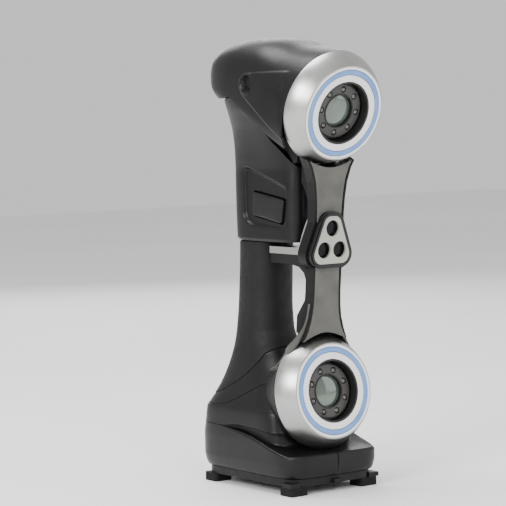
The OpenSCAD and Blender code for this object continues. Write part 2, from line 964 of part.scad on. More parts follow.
module eye_plate() {
    translate([0, 0, -bezel_len - clear - 4])
        difference() {
            cylinder(r = ring_r - wall - clear, h = 4);
            translate([0, 0, -1])
                cylinder(r = 14, h = 6);
        }
}

module front_frame() {
    color(GREY)
        difference() {
            union() {
                at_front()
                    difference() {
                        union() {
                            translate([0, 0, spine_back])
                                linear_extrude(height = frame_depth)
                                    frame_outline(0);
                            frame_ends();
                        }
                        translate([0, 0, -spine_setback - cover_t])
                            linear_extrude(height = 20)
                                frame_outline(1.4);
                        translate([-7.5, -57, spine_back + 1.6])
                            cube([15, 114, 20]);
                        across(7.5, bar_profile(0.4));
                        laser_room();
                        laser_bores(aperture_r - 0.8, spine_back + 1.4);
                        eye_rooms(0.4);
                    }
                at_upper() eye_plate();
                at_lower() eye_plate();
                difference() {
                    intersection() {
                        barrel(0);
                        translate([0, 0, 0.4])
                            above(collar_line);
                        translate([-60, -100, 0])
                            cube([120, 85, 200]);
                    }
                    barrel(wall);
                }
            }
            at_lower()
                translate([0, 0, -bezel_len - clear])
                    cylinder(r = ring_r + 0.4, h = 40);
            at_lower()
                translate([0, 0, -60])
                    cylinder(r = 14, h = 60);
            at_upper()
                translate([0, 0, -60])
                    cylinder(r = 14, h = 60);
            at_front()
                across(7.5, bar_profile(0.4));
            at_both()
                translate([0, 0, -led_depth - 16.5])
                    cylinder(r = 26.4, h = 3.6);
            translate([-60, -15, 60])
                cube([120, 60, 42]);
        }
}

module front_cover() {
    color(GREY)
        at_front()
            difference() {
                translate([0, 0, -spine_setback - cover_t])
                    linear_extrude(height = cover_t)
                        frame_outline(1.7);
                eye_rooms(0.4);
                laser_room();
            }
}

// ---- Laser unit, also in the leaning plane ----

laser_y = 7.7;
laser_spots = [[-aperture_x, laser_y - 6.4], [aperture_x, laser_y - 6.4], [0, laser_y + 7.5]];

module pod_outline(grow) {
    hull() {
        for (s = [-1, 1]) {
            translate([s * 8.4, laser_y - 9.4])
                circle(r = 6 + grow, $fn = 48);
            translate([s * 1.6, laser_y + 9.8])
                circle(r = 5.6 + grow, $fn = 48);
        }
    }
}

pod_back = spine_back + 4.7;
pod_front = -spine_setback + pod_proud;
plate_t = 1.6;

module laser_room() {
    translate([0, 0, pod_back - 0.2])
        linear_extrude(height = 40)
            pod_outline(3);
}

module laser_bores(r, z) {
    for (p = laser_spots)
        translate([p[0], p[1], z])
            cylinder(r = r, h = 30);
}

module laser_pod() {
    color(BLACK)
        at_front()
            difference() {
                union() {
                    translate([0, 0, pod_back])
                        linear_extrude(height = pod_front - pod_back - 1.2)
                            pod_outline(2.7);
                    translate([0, 0, pod_back + 1])
                        linear_extrude(height = pod_front - pod_back - 1.4)
                            pod_outline(1.7);
                }
                translate([0, 0, pod_front - plate_t - 0.6])
                    linear_extrude(height = 10)
                        pod_outline(0.2);
                for (p = laser_spots)
                    translate([p[0], p[1], pod_back - 1]) {
                        cylinder(r = aperture_r - 0.9, h = 30);
                        translate([0, 0, pod_front - pod_back - plate_t - 2.6])
                            cylinder(r = aperture_r - 0.2, h = 30);
                    }
            }
}

module aperture_plate() {
    color(PALE_GREY)
        at_front()
            translate([0, 0, pod_front - plate_t - 0.6])
                difference() {
                    linear_extrude(height = plate_t)
                        pod_outline(0);
                    for (p = laser_spots)
                        translate([p[0], p[1], -1])
                            cylinder(r = aperture_r, h = 10);
                }
}

module laser_windows() {
    color([0.2, 0.2, 0.25])
        at_front()
            for (p = laser_spots)
                translate([p[0], p[1], pod_front - plate_t - 3.2])
                    cylinder(r = aperture_r - 0.3, h = 1.2);
}

module laser_modules() {
    color("goldenrod")
        at_front()
            for (p = laser_spots)
                translate([p[0], p[1], spine_back + 1.6])
                    cylinder(r = aperture_r - 1.1, h = 5);
}

strut_y = lower_eye[0] - (strut_top - lower_eye[1]) * tan(front_lean)
          - spine_back / cos(front_lean);

module bridge_strut() {
    color(SILVER)
        difference() {
            union() {
                across(strut_half_w,
                       [[strut_y - 1.5, strut_top + 20.8], [strut_y + 2.2, strut_top + 14.8],
                        [strut_y + 5.2, strut_top + 9.1], [strut_y + 7.3, strut_top + 4.3],
                        [strut_y + 9, strut_top + 1.4], [strut_y + 12.1, strut_top + 0.2],
                        [strut_y + 22, strut_top], [12.8, strut_top],
                        [12.8, strut_top - strut_h], [strut_y, strut_top - strut_h]]);
                translate([-8, 0, strut_top - strut_h + 1])
                    cube([16, 24, strut_h - 2]);
            }
            behind_frame();
            sink_room();
        }
}

// The dark cover under the strut, which carries the leads to the handle.
module strut_cover() {
    z = strut_top - strut_h - 0.1;
    y = strut_y;
    color(SOFT_BLACK)
        difference() {
            across(strut_half_w - 0.6,
                   [[y - 1, z], [12.6, z], [12.6, z - strut_cover_h + 1],
                    [11.6, z - strut_cover_h], [y + 18, z - strut_cover_h],
                    [y + 10, z - strut_cover_h - 1.5], [y + 5, z - strut_cover_h - 5],
                    [y + 2, z - strut_cover_h - 12], [y - 2, z - strut_cover_h - 12]]);
            behind_frame();
            sink_room();
            across(strut_half_w - 2.6,
                   [[y + 1, z + 1], [10.4, z + 1], [10.4, z - strut_cover_h + 2],
                    [y + 12, z - strut_cover_h + 2], [y + 5, z - strut_cover_h - 1],
                    [y + 2, z - strut_cover_h - 6], [y, z - strut_cover_h - 6]]);
        }
}

module behind_frame() {
    at_front()
        translate([-40, -60, spine_back - 0.05])
            cube([80, 120, 60]);
}

module sink_room() {
    at_front()
        translate([-8.3, -7, spine_back - 5])
            cube([16.6, 12, 10]);
}

module laser_heat_sink() {
    color("silver")
        at_front() {
            translate([-8, -6.6, spine_back - 1.8])
                cube([16, 11.2, 1.7]);
            for (i = [-2 : 2])
                translate([i * 3.6 - 0.6, -6.6, spine_back - 4.6])
                    cube([1.2, 11.2, 3]);
        }
}

// The stiff bar that keeps both cameras in line, bent back at its ends.
function bar_profile(g) = let (b = baseline / 2, z = spine_back) [
    [-b + 17, z - 6.9 - g], [-b + 44, z - 6.1 - g], [-b + 53, z + 1.8 - g],
    [b - 53, z + 1.8 - g], [b - 44, z - 6.1 - g], [b - 17, z - 6.9 - g],
    [b - 17, z - 4.2 + g], [b - 42, z - 3 + g], [b - 51, z + 4.4 + g],
    [-b + 51, z + 4.4 + g], [-b + 42, z - 3 + g], [-b + 17, z - 4.2 + g]
];

module optical_backbone() {
    color("silver") {
        at_front()
            difference() {
                across(6.8, bar_profile(0));
                laser_bores(aperture_r - 0.8, spine_back);
            }
        at_both()
            translate([0, 0, -led_depth - 16.2])
                difference() {
                    cylinder(r = 26, h = 3);
                    translate([0, 0, -1])
                        cylinder(r = glass_r - 0.7, h = 6);
                }
    }
}

module upper_bezel() at_upper() bezel();
module upper_face_ring() at_upper() face_ring();
module upper_light_ring() at_upper() light_ring();
module upper_bore_sleeve() at_upper() bore_sleeve();
module upper_led_plate() at_upper() led_plate(86);
module upper_leds() at_upper() leds(86);
module upper_led_board() at_upper() led_board();
module upper_lens_cell() at_upper() lens_cell();
module upper_lens_glass() at_upper() lens_glass();
module upper_lens_barrel() at_upper() lens_barrel();
module upper_camera() at_upper() camera();

module lower_bezel() at_lower() bezel();
module lower_face_ring() at_lower() face_ring();
module lower_light_ring() at_lower() light_ring();
module lower_bore_sleeve() at_lower() bore_sleeve();
module lower_led_plate() at_lower() led_plate(22.5);
module lower_leds() at_lower() leds(22.5);
module lower_led_board() at_lower() led_board();
module lower_lens_cell() at_lower() lens_cell();
module lower_lens_glass() at_lower() lens_glass();
module lower_lens_barrel() at_lower() lens_barrel();
module lower_camera() at_lower() camera();

head_shell();
neck_frame();
block_left();
block_right();
grip_sleeve();
handle_core();
grip_collar();
base_left();
base_right();
bottom_plate();
rubber_feet();
bottom_screws();
front_frame();
bridge_strut();
strut_cover();
front_cover();
laser_pod();
aperture_plate();
laser_windows();
laser_modules();
laser_heat_sink();
optical_backbone();
head_screws();
status_window();
upper_bezel();
upper_face_ring();
upper_light_ring();
upper_bore_sleeve();
upper_led_plate();
upper_leds();
upper_led_board();
upper_lens_cell();
upper_lens_glass();
upper_lens_barrel();
upper_camera();
lower_bezel();
lower_face_ring();
lower_light_ring();
lower_bore_sleeve();
lower_led_plate();
lower_leds();
lower_led_board();
lower_lens_cell();
lower_lens_glass();
lower_lens_barrel();
lower_camera();
side_button_left();
side_button_right();
button_switches();
trigger();
trigger_pin();
trigger_switch();
control_board();
main_board();
power_socket();
data_socket();
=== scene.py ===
import bpy
import numpy as np
from mathutils import Matrix, Vector


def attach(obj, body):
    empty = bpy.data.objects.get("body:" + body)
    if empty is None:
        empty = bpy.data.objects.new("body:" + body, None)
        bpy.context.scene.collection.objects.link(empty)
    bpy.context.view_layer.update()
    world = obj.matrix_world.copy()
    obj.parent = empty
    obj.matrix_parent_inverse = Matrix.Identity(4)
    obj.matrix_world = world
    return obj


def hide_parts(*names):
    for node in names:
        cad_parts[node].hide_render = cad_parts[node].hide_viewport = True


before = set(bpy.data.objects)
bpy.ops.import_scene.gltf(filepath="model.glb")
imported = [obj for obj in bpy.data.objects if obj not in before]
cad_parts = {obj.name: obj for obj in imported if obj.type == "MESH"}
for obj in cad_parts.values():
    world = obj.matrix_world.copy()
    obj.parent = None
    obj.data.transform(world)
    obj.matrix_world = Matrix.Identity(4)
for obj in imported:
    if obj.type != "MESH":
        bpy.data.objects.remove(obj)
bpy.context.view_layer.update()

# ---- Camera ----
# It stands to the scanner's left and looks slightly down at the front, about a metre and a half
# away.
turn, rise, roll = np.radians((-37.3, 4.14, -1.15))
distance, lens_mm, sensor_mm = 1.4625, 159.192569, 36
aside, above = 0.02998153, 0.00506555
aim = np.array((0, -0.004, 0.1476))
back = np.array((np.sin(turn) * np.cos(rise), -np.cos(turn) * np.cos(rise), np.sin(rise)))
level = np.array((np.cos(turn), np.sin(turn), 0))
right = np.cos(roll) * level + np.sin(roll) * np.cross(back, level)
up = np.cross(back, right)
place = aim - right * aside + up * above + back * distance
camera_data = bpy.data.cameras.new("camera")
camera_data.sensor_width = sensor_mm
camera_data.lens = lens_mm
camera = bpy.data.objects.new("camera", camera_data)
camera.matrix_world = Matrix([[right[i], up[i], back[i], place[i]] for i in range(3)]
                             + [[0, 0, 0, 1]])
bpy.context.scene.collection.objects.link(camera)
bpy.context.scene.camera = camera

# ---- Floor and studio light ----
# A plain pale sheet on the ground, a strong soft box at the left, weaker ones in front, at the
# right, above and behind, and a white room.


def soft_box(name, spot, target, size, power):
    """A square lamp at spot that faces target."""
    lamp = bpy.data.lights.new(name, "AREA")
    lamp.size, lamp.energy = size, power
    holder = bpy.data.objects.new(name, lamp)
    holder.location = spot
    holder.rotation_euler = (Vector(target) - Vector(spot)).to_track_quat("-Z", "Y").to_euler()
    bpy.context.scene.collection.objects.link(holder)


soft_box("key_box", (-1.3, -0.35, 0.75), (0, 0, 0.16), 0.55, 20)
soft_box("front_box", (-0.35, -1.5, 0.9), (0, 0, 0.15), 0.5, 9)
soft_box("fill_box", (1.1, -0.9, 0.5), (0, 0, 0.15), 0.9, 4)
soft_box("top_box", (-0.1, 0.25, 1.2), (0, 0, 0.15), 0.6, 13)
soft_box("back_box", (0.6, 1.2, 0.7), (0, 0, 0.15), 0.9, 7)
room = bpy.data.worlds.new("room")
room.use_nodes = True
bpy.context.scene.world = room
room.node_tree.nodes["Background"].inputs["Color"].default_value = (1, 1, 1, 1)
room.node_tree.nodes["Background"].inputs["Strength"].default_value = 0.8

MM = 0.001


def finish(name, dark, pale, rough, grain=0.5, relief=0.15, cloud=35, metal=0.0, coat=0.0,
           rough_swing=0.06, shine=0.5):
    """A surface whose colour drifts between two shades in soft clouds cloud mm wide, and whose
    grain, grain mm wide, stands relief tenths of a mm high and breaks up the gloss."""
    made = bpy.data.materials.new(name)
    made.use_nodes = True
    nodes, links = made.node_tree.nodes, made.node_tree.links
    shader = nodes["Principled BSDF"]
    where = nodes.new("ShaderNodeTexCoord").outputs["Object"]
    noises = []
    for width, detail in ((cloud, 3), (grain, 2), (grain * 14, 4)):
        noise = nodes.new("ShaderNodeTexNoise")
        noise.inputs["Scale"].default_value = 1 / (width * MM)
        noise.inputs["Detail"].default_value = detail
        links.new(where, noise.inputs["Vector"])
        noises.append(noise.outputs["Fac"])
    shade = nodes.new("ShaderNodeValToRGB")
    shade.color_ramp.elements[0].position, shade.color_ramp.elements[1].position = 0.3, 0.7
    shade.color_ramp.elements[0].color = (*dark, 1)
    shade.color_ramp.elements[1].color = (*pale, 1)
    links.new(noises[0], shade.inputs["Fac"])
    links.new(shade.outputs["Color"], shader.inputs["Base Color"])
    gloss = nodes.new("ShaderNodeMapRange")
    gloss.inputs["From Min"].default_value = 0.3
    gloss.inputs["From Max"].default_value = 0.7
    gloss.inputs["To Min"].default_value = max(rough - rough_swing, 0.02)
    gloss.inputs["To Max"].default_value = rough + rough_swing
    links.new(noises[2], gloss.inputs["Value"])
    links.new(gloss.outputs["Result"], shader.inputs["Roughness"])
    bump = nodes.new("ShaderNodeBump")
    bump.inputs["Strength"].default_value = relief
    bump.inputs["Distance"].default_value = 0.1 * MM
    links.new(noises[1], bump.inputs["Height"])
    links.new(bump.outputs["Normal"], shader.inputs["Normal"])
    shader.inputs["Metallic"].default_value = metal
    shader.inputs["Coat Weight"].default_value = coat
    shader.inputs["Coat Roughness"].default_value = 0.08
    shader.inputs["Specular IOR Level"].default_value = shine
    return made


def dress(material, *names):
    """Gives CAD nodes their finish."""
    for name in names:
        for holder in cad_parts[name].material_slots:
            holder.material = material


def surface(name, points, closed_u=False, closed_v=False):
    """A mesh from a grid of points in mm, each next to its neighbours in rows and columns. The
    faces are wound so that they look away from the middle of the piece."""
    m, n = points.shape[:2]
    i = np.arange(m if closed_u else m - 1)[:, None]
    j = np.arange(n if closed_v else n - 1)[None, :]
    i2, j2 = (i + 1) % m, (j + 1) % n
    quads = np.stack([i * n + j, i2 * n + j, i2 * n + j2, i * n + j2], -1).reshape(-1, 4)
    flat = points.reshape(-1, 3) * MM
    a, b, c, d = (flat[quads[:, k]] for k in range(4))
    normal = np.cross(c - a, d - b)
    if closed_u and closed_v:
        out = (normal * (a + b + c + d)).sum()
    else:
        out = (normal * ((a + b + c + d) / 4 - flat.mean(0))).sum()
    if out < 0:
        quads = quads[:, ::-1]
    mesh = bpy.data.meshes.new(name)
    mesh.vertices.add(len(flat))
    mesh.vertices.foreach_set("co", flat.ravel())
    mesh.loops.add(quads.size)
    mesh.loops.foreach_set("vertex_index", quads.ravel().astype(np.int32))
    mesh.polygons.add(len(quads))
    mesh.polygons.foreach_set("loop_start", np.arange(0, quads.size, 4, dtype=np.int32))
    mesh.update(calc_edges=True)
    mesh.validate()
    mesh.shade_smooth()
    return mesh


def piece(name, mesh, material, nodes=(), body="scanner", wall=0.0, edge=0.0):
    """A finished piece that rides on a body and stands for CAD nodes. A wall in mm is added
    inwards, and edges are eased by edge mm."""
    made = bpy.data.objects.new(name, mesh)
    bpy.context.scene.collection.objects.link(made)
    mesh.materials.append(material)
    if wall:
        shell = made.modifiers.new("wall", "SOLIDIFY")
        shell.thickness, shell.offset = wall * MM, -1
    if edge:
        ease = made.modifiers.new("edge", "BEVEL")
        ease.width, ease.segments, ease.limit_method = edge * MM, 2, "ANGLE"
        ease.angle_limit = np.radians(50)
        ease.harden_normals = True
    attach(made, body)
    if nodes:
        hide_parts(*nodes)


floor_grain = finish("floor_paper", (0.86, 0.86, 0.86), (0.9, 0.9, 0.9), 0.8, grain=2, relief=0.05,
                     cloud=400)
ground = np.stack(np.meshgrid(np.linspace(-3000, 3000, 4), np.linspace(-3000, 3000, 4),
                              indexing="ij") + [np.full((4, 4), -0.05)], -1)
floor_mesh = surface("floor", ground)
if floor_mesh.polygons[0].normal.z < 0:
    floor_mesh.flip_normals()
floor = bpy.data.objects.new("floor", floor_mesh)
floor_mesh.materials.append(floor_grain)
bpy.context.scene.collection.objects.link(floor)

# ---- Bottom plate, feet and main board ----
# A matt moulded tray closes the base. Four rubber blocks are screwed up through it, and the main
# board lies on its ribs.
matt_black = finish("matt_black", (0.004, 0.004, 0.004), (0.008, 0.008, 0.008), 0.5, grain=0.35,
                    relief=0.4, shine=0.25)
foot_rubber = finish("foot_rubber", (0.004, 0.004, 0.004), (0.008, 0.008, 0.008), 0.7, grain=0.3,
                     relief=0.5, shine=0.2)
screw_steel = finish("screw_steel", (0.05, 0.05, 0.052), (0.09, 0.09, 0.095), 0.35, grain=0.2,
                     relief=0.1, metal=1.0)
board_green = finish("board_green", (0.01, 0.07, 0.03), (0.02, 0.12, 0.05), 0.35, grain=1.5,
                     relief=0.2, cloud=9, coat=0.3)
socket_black = finish("socket_black", (0.02, 0.02, 0.02), (0.035, 0.035, 0.035), 0.45)
socket_metal = finish("socket_metal", (0.5, 0.5, 0.5), (0.62, 0.62, 0.6), 0.28, relief=0.05,
                      metal=1.0)
dress(matt_black, "bottom_plate")
dress(foot_rubber, "rubber_feet")
dress(screw_steel, "bottom_screws")
dress(board_green, "main_board", "control_board", "upper_led_board", "lower_led_board")
dress(socket_black, "power_socket")
dress(socket_metal, "data_socket")

# ---- Base halves ----
# Two mirrored satin black mouldings meet along the middle. Each is a heavy foot whose top edge
# sweeps up to the back, a sunk step, and the body that carries the lower camera.
EYES = {"upper": (np.array((0, -52.68, 243.57)), np.radians(16.2)),
        "lower": (np.array((0, -37.7, 65.2)), np.radians(-6.6))}
satin_black = finish("satin_black", (0.004, 0.004, 0.0043), (0.007, 0.007, 0.0075), 0.35,
                     grain=0.35, relief=0.22, rough_swing=0.05, shine=0.24)
DEG = np.pi / 180


def power(v, p):
    """v to the power p, keeping its sign."""
    return np.sign(v) * np.abs(v) ** p


def through(rows, x):
    """Smooth curves through rows of (position, values...), read at x: between two rows a cubic
    whose end slopes are the harmonic means of the slopes on either side, so it never bulges."""
    rows = np.array(rows, float)
    t, v = rows[:, 0], rows[:, 1:]
    pitch = np.diff(v, axis=0) / np.diff(t)[:, None]
    both = pitch[:-1] * pitch[1:]
    total = pitch[:-1] + pitch[1:]
    inner = np.where(both > 0, 2 * both / np.where(both > 0, total, 1), 0)
    slope = np.concatenate([pitch[:1], inner, pitch[-1:]])
    x = np.clip(x, t[0], t[-1])
    i = np.clip(np.searchsorted(t, x, side="right") - 1, 0, len(t) - 2)
    h = (t[i + 1] - t[i])[..., None]
    u = (x - t[i])[..., None] / h
    return (v[i] * (1 + 2 * u) * (1 - u) ** 2 + v[i + 1] * (3 - 2 * u) * u ** 2
            + h * slope[i] * u * (1 - u) ** 2 - h * slope[i + 1] * (1 - u) * u ** 2)


def shell_point(rows, z, angle, inset):
    """The point at height z and angle on an upright shell. Its level section is a superellipse of
    half width a from y0 to y1 with exponent e, narrower at the front by the share k."""
    a, y0, y1, e, k = np.moveaxis(through(rows, z), -1, 0)
    s = power(np.sin(angle), 2 / e)
    x = (a - inset) * power(np.cos(angle), 2 / e) * (1 + k * s)
    return np.stack([x, (y0 + y1) / 2 + ((y1 - y0) / 2 - inset) * s, z + 0 * x], -1)


def line_height(line, y):
    """The height of a broken line in the side view at y."""
    return np.interp(y, [p[0] for p in line], [p[1] for p in line])


def trim(rows, line, angle, inset, low, high):
    """For each angle, the height where the shell meets a line drawn in the side view, found by
    halving."""
    low, high = np.full(angle.shape, float(low)), np.full(angle.shape, float(high))
    for _ in range(40):
        z = (low + high) / 2
        under = z < line_height(line, shell_point(rows, z, angle, inset)[..., 1])
        low, high = np.where(under, z, low), np.where(under, high, z)
    return (low + high) / 2


def ramp(v):
    """0 below 0, 1 above 1, and a smooth step between."""
    v = np.clip(v, 0, 1)
    return v * v * (3 - 2 * v)


foot_rows = [(10.7, 36.2, -39.2, 60, 7, 0), (14.2, 37.4, -40.6, 61.2, 7, 0),
             (19.7, 38.2, -41.3, 62, 7, 0), (31, 38.2, -41, 62, 7, 0), (41, 37.6, -40, 61, 7, 0)]
body_rows = [(19, 36.8, -26, 60.5, 6, 0), (31, 37.8, -25, 61.6, 6.5, 0),
             (41, 37.2, -23, 60.6, 7, 0), (50.5, 36.4, -21, 59.4, 7, 0),
             (54, 35.2, -20, 58.6, 5.5, 0), (59.5, 32.8, -18, 57.7, 4.4, 0),
             (66.5, 29.3, -14.5, 57, 3.5, 0), (75, 25.5, -8, 56.2, 2.9, 0),
             (85, 21.5, 2, 55, 2.5, 0), (93, 18.7, 9.5, 53.8, 2.4, 0),
             (102, 17.5, 13.2, 52.6, 2.3, 0), (120, 16.5, 14, 50.6, 2.3, 0),
             (140.4, 16.5, 13.5, 48.6, 2.3, 0), (160.4, 16.3, 13, 47, 2.5, 0)]
deck_line = [(-60, 25.5), (-34, 25.6), (-20.2, 29), (-8.2, 32.6), (2.5, 35.4), (16, 37.4),
             (28, 38.6), (38, 39.4), (80, 39.6)]
body_line = [(-60, 32), (-36, 35), (-22, 38), (-3, 40.4), (14, 41), (25, 40.4), (33, 39.6),
             (80, 39.6)]
collar_line = [(-60, 101), (-34, 101), (-17, 80.2), (1, 68.6), (17.8, 59.6), (30, 54.4),
               (44, 52), (57.7, 51.5), (80, 51.5)]
seam, rear_seam = 0.12, 0.02
bay_half_w, bay_half_h, bay_z, bay_floor = 22, 8.5, 24, 55


def even_angles(e, a, b, count):
    """Angles from -90 to 90 degrees that step evenly along a superellipse."""
    fine = np.linspace(-90, 90, 4001) * DEG
    x, y = a * power(np.cos(fine), 2 / e), b * power(np.sin(fine), 2 / e)
    run = np.concatenate([[0], np.cumsum(np.hypot(np.diff(x), np.diff(y)))])
    return np.interp(np.linspace(0, run[-1], count), run, fine)


def base_side(count=330):
    """Half of the base. At each angle from front to back a profile climbs the foot's wall, turns
    in over its rounded edge and the deck, climbs the sunk waist, comes out under the body's lip
    and climbs the body to the collar. The step fades out where the two lines meet."""
    angle = even_angles(6.5, 38, 51, count)
    foot_top = trim(foot_rows, deck_line, angle, 0, 11, 41)
    waist_low = trim(body_rows, deck_line, angle, 4.5, 20, 45)
    waist_top = trim(body_rows, body_line, angle, 4.5, 20, 45)
    lip = trim(body_rows, body_line, angle, 0, 20, 45)
    top = trim(body_rows, collar_line, angle, 0, 40, 110)
    opened = ramp((waist_top - waist_low - 0.2) / 3.5)
    step, edge = 0.35 + 4.15 * opened, 0.25 + 1.45 * opened
    rows = []
    rows += [shell_point(foot_rows, 10.7 + 0 * angle, angle, i) for i in (3, 0.9)]
    rows += [shell_point(foot_rows, 10.9 + 0.4 * i + 0 * angle, angle, 0.5 * (1 - i))
             for i in np.linspace(0, 1, 3)]
    rows += [shell_point(foot_rows, 11.4 + (foot_top - edge - 11.4) * i, angle, 0)
             for i in np.linspace(0, 1, 64)[1:]]
    rows += [shell_point(foot_rows, foot_top - edge * (1 - np.sin(i)), angle,
                         edge * (1 - np.cos(i))) for i in np.linspace(0, np.pi / 2, 8)[1:]]
    start = rows[-1]
    sill = shell_point(body_rows, waist_low, angle, step)
    sill[:, 2] = np.minimum(sill[:, 2], np.maximum(foot_top, waist_low) + 0.1)
    rows += [start + (sill - start) * i + np.array((0, 0, -0.5)) * np.sin(i * np.pi)
             * opened[:, None] for i in np.linspace(0, 1, 12)[1:]]
    rows += [shell_point(body_rows, waist_low + (waist_top - waist_low) * i, angle, step)
             for i in np.linspace(0, 1, 7)[1:]]
    start = rows[-1]
    under = shell_point(body_rows, lip, angle, 0.7 * opened)
    rows += [start + (under - start) * i for i in np.linspace(0, 1, 5)[1:]]
    rows += [shell_point(body_rows, lip + 0.7 * opened * np.sin(i), angle,
                         0.7 * opened * (1 - np.sin(i))) for i in np.linspace(0, np.pi / 2, 4)[1:]]
    rise_to = top - lip - 0.7 * opened - 0.6
    rows += [shell_point(body_rows, lip + 0.7 * opened + rise_to * i, angle, 0)
             for i in np.linspace(0, 1, 44)[1:]]
    rows += [shell_point(body_rows, top - 0.6 * (1 - np.sin(i)), angle, 0.6 * (1 - np.cos(i)))
             for i in np.linspace(0, np.pi / 2, 5)[1:]]
    rows += [shell_point(body_rows, top - 0.1, angle, 2.2)]
    grid = np.stack(rows, 1)
    x, y, z = np.moveaxis(grid, -1, 0)
    grid[..., 0] = np.maximum(x, np.where(y < 0, seam, rear_seam))
    bay = np.minimum(bay_half_w - x, bay_half_h - np.abs(z - bay_z))
    grid[..., 1] = np.where(y > 45, y - (y - bay_floor) * ramp((bay + 0.3) / 0.8), y)
    return grid


for side, sign in (("right", 1), ("left", -1)):
    half = base_side() * np.array((sign, 1, 1))
    piece("base_shell_" + side, surface("base_" + side, half), satin_black,
          wall=1.2, edge=0.2)

# ---- Shroud round the lower camera ----
# The moulding narrows from the camera's ring back into the base. Its lower part is the base's,
# its upper part the collar's, and its front top belongs to the front frame.
split_y, rear_y = -15, 3


def eye_point(eye, x, y, z):
    """A point given across, up and out from a camera's face."""
    centre, tilt = EYES[eye]
    up_face = np.array((0, -np.sin(tilt), np.cos(tilt)))
    out = np.array((0, -np.cos(tilt), -np.sin(tilt)))
    return (centre + np.asarray(x)[..., None] * np.array((1, 0, 0))
            + np.asarray(y)[..., None] * up_face + np.asarray(z)[..., None] * out)


def shroud(angle, s):
    """A cone's side: straight lines from the ring behind the bezel to a smaller circle inside
    the base."""
    ring = eye_point("lower", 37.5 * np.cos(angle), 37.5 * np.sin(angle), -14.5 + 0 * angle)
    rear = np.stack([27 * np.cos(angle), rear_y + 0 * angle, 58 + 27 * np.sin(angle)], -1)
    return ring + (rear - ring) * s[..., None]


def shroud_part(part, gap=0.15):
    """The shroud on one side of the collar line, found for each step along the cone by
    halving, and its upper side is split into a front and a rear at y = split_y."""
    s = np.linspace(0, 1, 60)
    low, high = np.full(60, -60.0) * DEG, np.full(60, 90.0) * DEG
    for _ in range(40):
        angle = (low + high) / 2
        p = shroud(angle, s)
        below = p[:, 2] < line_height(collar_line, p[:, 1])
        low, high = np.where(below, angle, low), np.where(below, high, angle)
    cut = (low + high) / 2
    if part == "lower":
        t = np.linspace(0, 1, 160)[:, None]
        angle = (np.pi - cut + gap / 37) + t * (np.pi + 2 * cut - 2 * gap / 37)
        return shroud(angle, s[None] + 0 * angle)
    t = np.linspace(0, 1, 90)[:, None]
    angle = (cut + gap / 37) + t * (np.pi - 2 * cut - 2 * gap / 37)
    start = shroud(angle, 0 * angle)[..., 1]
    split = (split_y - start) / (rear_y - start)
    if part == "front":
        return shroud(angle, s[None] * (split - 0.006))
    return shroud(angle, split + 0.006 + s[None] * (1 - split))


piece("base_shroud", surface("base_shroud", shroud_part("lower")), satin_black,
      ("base_left", "base_right"), wall=1.6, edge=0.2)

# ---- Grip collar ----
# A satin black band follows the foot of the grip and rises in front of it as a saddle. It is
# held between the base halves and the sleeve.


def band(rows, low_line, high_line, low, high, gap, deep, count=360, steps=50, edge=0.5):
    """A closed ring of the shell between two side-view lines: in at the bottom, round the lower
    edge, up the outside, round the upper edge and down the inside."""
    angle = np.linspace(0, 2 * np.pi, count, endpoint=False)
    z0 = trim(rows, low_line, angle, 0, low, high) + gap
    z1 = trim(rows, high_line, angle, 0, low, high) - gap
    quarter = np.linspace(0, np.pi / 2, 5)
    rings = [shell_point(rows, z0, angle, deep)]
    rings += [shell_point(rows, z0 + edge * (1 - np.cos(i)), angle, edge * (1 - np.sin(i)))
              for i in quarter]
    rings += [shell_point(rows, z0 + edge + (z1 - z0 - 2 * edge) * i, angle, 0)
              for i in np.linspace(0, 1, steps)[1:-1]]
    rings += [shell_point(rows, z1 - edge * (1 - np.sin(i)), angle, edge * (1 - np.cos(i)))
              for i in quarter]
    rings += [shell_point(rows, z1 + (z0 - z1) * i, angle, deep)
              for i in np.linspace(0, 1, 8)[:-1]]
    return np.stack(rings, 1)


grip_line = [(-60, 108), (-6, 108), (6, 92), (11.8, 86.8), (13.3, 82.5), (17.6, 76.3),
             (27.5, 68.6), (40.6, 61.4), (52, 57.8), (60, 57), (80, 57)]
piece("collar_band", surface("collar_band", band(body_rows, collar_line, grip_line, 45, 115,
                                                 0.18, 2.0), True, True),
      satin_black, ("grip_collar",))
piece("collar_saddle", surface("collar_saddle", shroud_part("rear")), satin_black,
      wall=1.6, edge=0.3)

# ---- Grip ----
# A grey core tube carries the load. A soft rubber sleeve is moulded over it, with a fine dull
# grain.
grip_rubber = finish("grip_rubber", (0.004, 0.004, 0.0042), (0.008, 0.008, 0.0083), 0.55, grain=0.3,
                     relief=0.7, rough_swing=0.08, shine=0.22)
core_grey = finish("core_grey", (0.09, 0.09, 0.09), (0.14, 0.14, 0.14), 0.5)
flat_top = [(-90, 160.1), (90, 160.1)]
piece("sleeve", surface("sleeve", band(body_rows, grip_line, flat_top, 50, 160.4, 0.2, 2.0,
                                       steps=90), True, True), grip_rubber,
      ("grip_sleeve",))
dress(core_grey, "handle_core")

